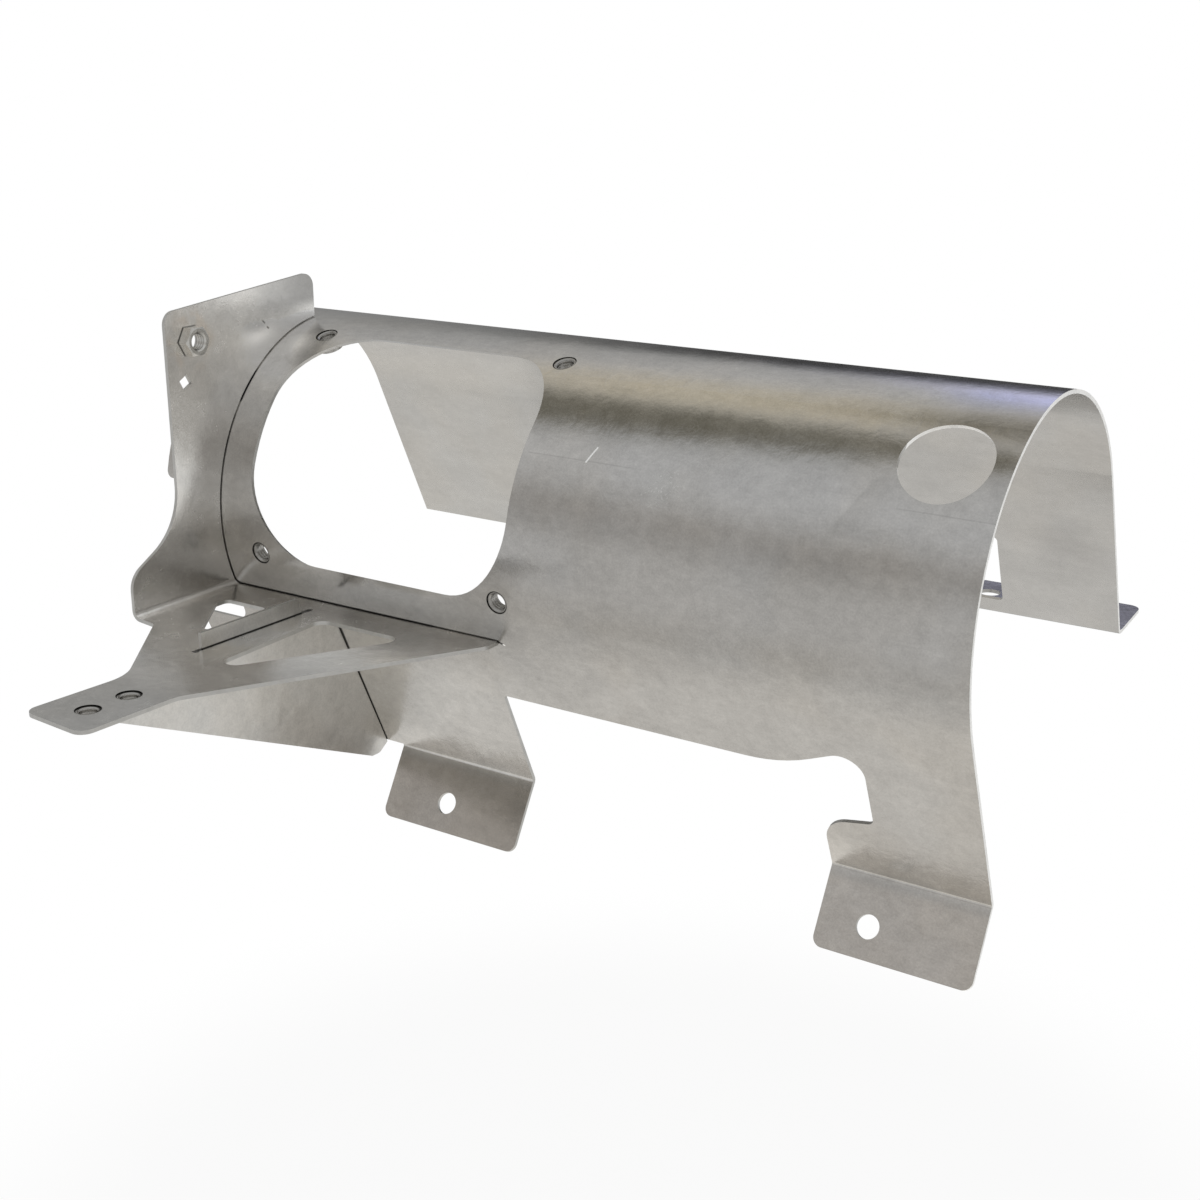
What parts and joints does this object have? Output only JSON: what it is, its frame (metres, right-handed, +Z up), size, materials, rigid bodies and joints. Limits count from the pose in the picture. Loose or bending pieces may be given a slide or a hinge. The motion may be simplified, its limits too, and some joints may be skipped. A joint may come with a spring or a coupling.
{
  "type": "diesel exhaust fluid doser heat shield",
  "caption": "Folded sheet-steel heat shield: an arched shroud on feet with a doser opening, an end plate and a gusseted bracket shelf.",
  "frame": {"origin": "midway between the two foot holes, on the feet's front face", "axes": "+X along the shroud away from the end plate, +Y from the front to the back, +Z up, square to the shelf and the flange"},
  "size_m": [0.3575, 0.3398, 0.2216],
  "materials": {
    "shroud_steel": "mill finish, softly reflective",
    "bracket_steel": "mill finish, softly reflective",
    "gusset_steel": "mill finish, softly reflective",
    "weld_nut_steel": "bright",
    "clinch_nut_steel": "bright"
  },
  "bodies": {
    "root": {"shroud": "shroud_steel", "end_bracket": "bracket_steel", "gusset": "gusset_steel", "plate_nut": "weld_nut_steel", "opening_nuts": "clinch_nut_steel", "ear_nuts": "clinch_nut_steel"}
  },
  "joints": []
}
